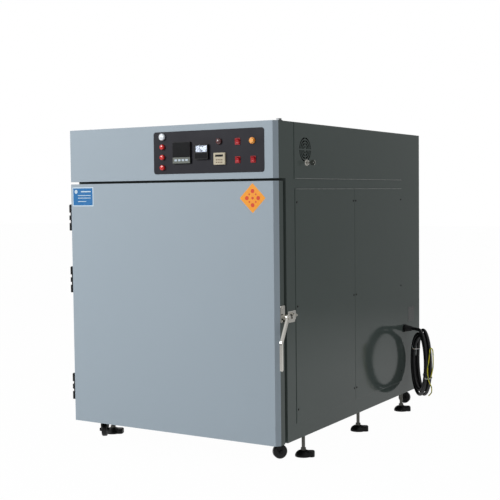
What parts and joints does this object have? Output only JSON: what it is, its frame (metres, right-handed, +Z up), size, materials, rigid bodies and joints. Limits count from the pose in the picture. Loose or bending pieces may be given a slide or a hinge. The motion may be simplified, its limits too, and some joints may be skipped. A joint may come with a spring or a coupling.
{
  "type": "curing oven",
  "caption": "Floor-standing industrial curing oven with a side-hinged insulated door, lever latch, header control panel, casters and levelling feet.",
  "frame": {"origin": "on the floor under the cabinet's centre in plan", "axes": "+X to the right seen from the door, +Y to the back, +Z up; the door faces -Y"},
  "size_m": [1.3757, 1.584, 1.492],
  "materials": {
    "front_paint": "light blue-grey powder coat, satin",
    "side_paint": "dark grey enamel, glossy",
    "plate_paint": "charcoal enamel with a fine light edge line",
    "black_paint": "black enamel",
    "motor_paint": "grey machine enamel",
    "galvanised": "galvanised sheet",
    "stainless": "bright stainless sheet",
    "zinc": "zinc-plated steel",
    "chrome_plate": "polished chrome plate",
    "wool": "mineral wool slab",
    "silicone": "dark silicone seal",
    "cable_sheath": "black rubber sheath",
    "earth_sheath": "yellow and green insulation",
    "tie_plastic": "white nylon",
    "black_plastic": "black moulded plastic",
    "beige_plastic": "beige moulded plastic",
    "lamp_lens": "clear and red moulded lenses",
    "red_plastic": "dark red moulded rocker",
    "yellow_plastic": "amber moulded button",
    "needle_paint": "black needle"
  },
  "bodies": {
    "cabinet": {"base_frame": "side_paint", "front_frame": "side_paint", "side_walls": "side_paint", "roof_panel": "side_paint", "rear_cover": "side_paint", "inner_bulkheads": "galvanised", "chamber_insulation": "wool", "chamber_liner": "stainless", "header_fascia": "front_paint", "header_box": "side_paint", "control_plate": "plate_paint", "right_lower_panels": "side_paint", "left_panels": "side_paint", "hinge_frame_leaves": "black_paint", "latch_keeper": "chrome_plate", "air_duct": "stainless", "blower_motor": "motor_paint", "heater_elements": "stainless", "shelf_rails": "stainless", "shelves": "stainless", "caster_plates": "zinc", "foot_studs": "zinc", "foot_pads": "black_plastic", "controller": "black_plastic", "ammeter": "black_plastic", "timer": "beige_plastic", "signal_lamps": "lamp_lens", "switch_bezels": "black_plastic", "cable_gland": "black_plastic", "power_cable": "cable_sheath", "cable_coil": "cable_sheath", "earth_wire": "earth_sheath", "cable_ties": "tie_plastic"},
    "door": {"door_skin": "front_paint", "door_frame": "side_paint", "door_liner": "stainless", "door_core": "wool", "door_gasket": "silicone", "hinge_door_leaves": "black_paint", "latch_base": "chrome_plate"},
    "door_latch": {"latch_lever": "chrome_plate"},
    "access_panel": {"right_upper_panel": "side_paint", "cooling_fan_frame": "black_plastic", "cam_lock": "chrome_plate"},
    "key": {"lock_key": "chrome_plate"},
    "cooling_fan": {"fan_rotor": "black_plastic"},
    "blower": {"blower_wheel": "galvanised"},
    "needle": {"ammeter_needle": "needle_paint"},
    "switch_1": {"rocker_1": "red_plastic"},
    "switch_2": {"rocker_2": "red_plastic"},
    "switch_3": {"rocker_3": "red_plastic"},
    "start_button": {"push_button": "yellow_plastic"},
    "swivel_front_left": {"caster_fork_front_left": "zinc"},
    "wheel_front_left": {"caster_wheel_front_left": "black_plastic"},
    "swivel_front_right": {"caster_fork_front_right": "zinc"},
    "wheel_front_right": {"caster_wheel_front_right": "black_plastic"},
    "swivel_rear_right": {"caster_fork_rear_right": "zinc"},
    "wheel_rear_right": {"caster_wheel_rear_right": "black_plastic"},
    "swivel_rear_left": {"caster_fork_rear_left": "zinc"},
    "wheel_rear_left": {"caster_wheel_rear_left": "black_plastic"}
  },
  "joints": [
    {"name": "door_hinge", "type": "hinge", "parent": "cabinet", "child": "door", "pos_m": [-0.591, -0.739, 0.7], "axis": [0, 0, -1], "range_deg": [0, 120]},
    {"name": "latch_turn", "type": "hinge", "parent": "door", "child": "door_latch", "pos_m": [0.58, -0.734, 0.66004], "axis": [-1, 0, 0], "range_deg": [0, 75]},
    {"name": "access_panel_pull", "type": "slide", "parent": "cabinet", "child": "access_panel", "axis": [1, 0, 0], "range_m": [0, 0.2]},
    {"name": "key_turn", "type": "hinge", "parent": "access_panel", "child": "key", "pos_m": [0.579, -0.522, 1.319], "axis": [1, 0, 0], "range_deg": [0, 90]},
    {"name": "cooling_fan_spin", "type": "hinge", "parent": "access_panel", "child": "cooling_fan", "pos_m": [0.549, -0.533, 1.376], "axis": [1, 0, 0], "continuous": true},
    {"name": "blower_spin", "type": "hinge", "parent": "cabinet", "child": "blower", "pos_m": [0, 0.45, 0.714], "axis": [0, 1, 0], "continuous": true},
    {"name": "needle_swing", "type": "hinge", "parent": "cabinet", "child": "needle", "pos_m": [0.199, -0.793, 1.374], "axis": [0, 1, 0], "range_deg": [0, 90], "stiffness_Nm_per_rad": 0.0005},
    {"name": "start_button_press", "type": "slide", "parent": "cabinet", "child": "start_button", "axis": [0, 1, 0], "range_m": [0, 0.004], "stiffness_N_per_m": 600, "springref_m": -0.001},
    {"name": "switch_1_rock", "type": "hinge", "parent": "cabinet", "child": "switch_1", "pos_m": [0.3815, -0.783, 1.409], "axis": [-1, 0, 0], "range_deg": [0, 20]},
    {"name": "switch_2_rock", "type": "hinge", "parent": "cabinet", "child": "switch_2", "pos_m": [0.3815, -0.783, 1.331], "axis": [-1, 0, 0], "range_deg": [0, 20]},
    {"name": "switch_3_rock", "type": "hinge", "parent": "cabinet", "child": "switch_3", "pos_m": [0.4585, -0.783, 1.331], "axis": [-1, 0, 0], "range_deg": [0, 20]},
    {"name": "swivel_front_left_turn", "type": "hinge", "parent": "cabinet", "child": "swivel_front_left", "pos_m": [-0.476, -0.656, 0.1], "axis": [0, 0, 1], "continuous": true},
    {"name": "wheel_front_left_roll", "type": "hinge", "parent": "swivel_front_left", "child": "wheel_front_left", "pos_m": [-0.46454, -0.67478, 0.054], "axis": [0.8536, 0.521, 0], "continuous": true},
    {"name": "swivel_front_right_turn", "type": "hinge", "parent": "cabinet", "child": "swivel_front_right", "pos_m": [0.476, -0.656, 0.1], "axis": [0, 0, 1], "continuous": true},
    {"name": "wheel_front_right_roll", "type": "hinge", "parent": "swivel_front_right", "child": "wheel_front_right", "pos_m": [0.49052, -0.63947, 0.054], "axis": [-0.7513, 0.66, 0], "continuous": true},
    {"name": "swivel_rear_right_turn", "type": "hinge", "parent": "cabinet", "child": "swivel_rear_right", "pos_m": [0.476, 0.739, 0.1], "axis": [0, 0, 1], "continuous": true},
    {"name": "wheel_rear_right_roll", "type": "hinge", "parent": "swivel_rear_right", "child": "wheel_rear_right", "pos_m": [0.4976, 0.7432, 0.054], "axis": [-0.1908, 0.9816, 0], "continuous": true},
    {"name": "swivel_rear_left_turn", "type": "hinge", "parent": "cabinet", "child": "swivel_rear_left", "pos_m": [-0.476, 0.739, 0.1], "axis": [0, 0, 1], "continuous": true},
    {"name": "wheel_rear_left_roll", "type": "hinge", "parent": "swivel_rear_left", "child": "wheel_rear_left", "pos_m": [-0.49667, 0.74652, 0.054], "axis": [-0.342, -0.9397, 0], "continuous": true}
  ]
}
